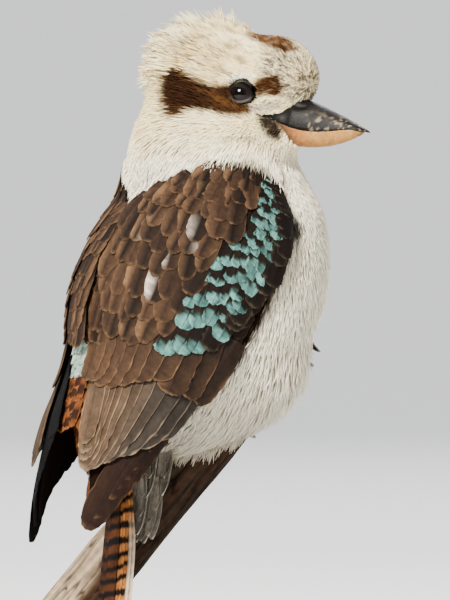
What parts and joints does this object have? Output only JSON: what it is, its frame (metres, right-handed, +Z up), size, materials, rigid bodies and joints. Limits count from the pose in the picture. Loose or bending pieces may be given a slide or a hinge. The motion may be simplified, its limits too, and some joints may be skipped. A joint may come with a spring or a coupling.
{
  "type": "laughing kookaburra on a branch",
  "caption": "A life-size laughing kookaburra at rest on a slanting dead branch, its head turned back over its shoulder, on a plain display stand.",
  "frame": {"origin": "the centre of the underside of the stand's base, on the table", "axes": "+Z up; +X is to the right as seen in the picture and -Y is towards its camera; the bird's chest points 30 degrees from +X towards +Y and its head 30 degrees from +X towards -Y"},
  "size_m": [0.1818, 0.1381, 0.38],
  "materials": {
    "head_plumage": "soft cream-white plumage streaked with brown, and a dark brown mask behind the eye",
    "neck_plumage": "soft cream-white plumage with faint brown barring",
    "body_plumage": "soft cream-white plumage, fluffed over the belly",
    "wing_plumage": "brown wing feathers with pale fringes and pale turquoise tips on the coverts",
    "tail_plumage": "rufous tail feathers barred with black and tipped white",
    "eye": "wet, glossy dark brown",
    "bill_upper": "scuffed grey-black horn",
    "bill_lower": "pale buff horn, darker at its base",
    "foot_skin": "scaly grey-olive skin",
    "claw": "dark horn",
    "branch_wood": "weathered dead wood, split along the grain",
    "stand_rod": "plain brushed rod",
    "stand_base": "dark stained wood, satin"
  },
  "bodies": {
    "root": {"head": "head_plumage", "eye_right": "eye", "eye_left": "eye", "bill_upper": "bill_upper", "bill_lower": "bill_lower", "neck": "neck_plumage", "torso": "body_plumage", "wing_right": "wing_plumage", "wing_left": "wing_plumage", "tail": "tail_plumage", "leg_right": "foot_skin", "foot_right": "foot_skin", "claw_right_inner": "claw", "claw_right_middle": "claw", "claw_right_outer": "claw", "claw_right_rear": "claw", "leg_left": "foot_skin", "foot_left": "foot_skin", "claw_left_inner": "claw", "claw_left_middle": "claw", "claw_left_outer": "claw", "claw_left_rear": "claw", "perch": "branch_wood", "stand_rod": "stand_rod", "stand_base": "stand_base"}
  },
  "joints": []
}
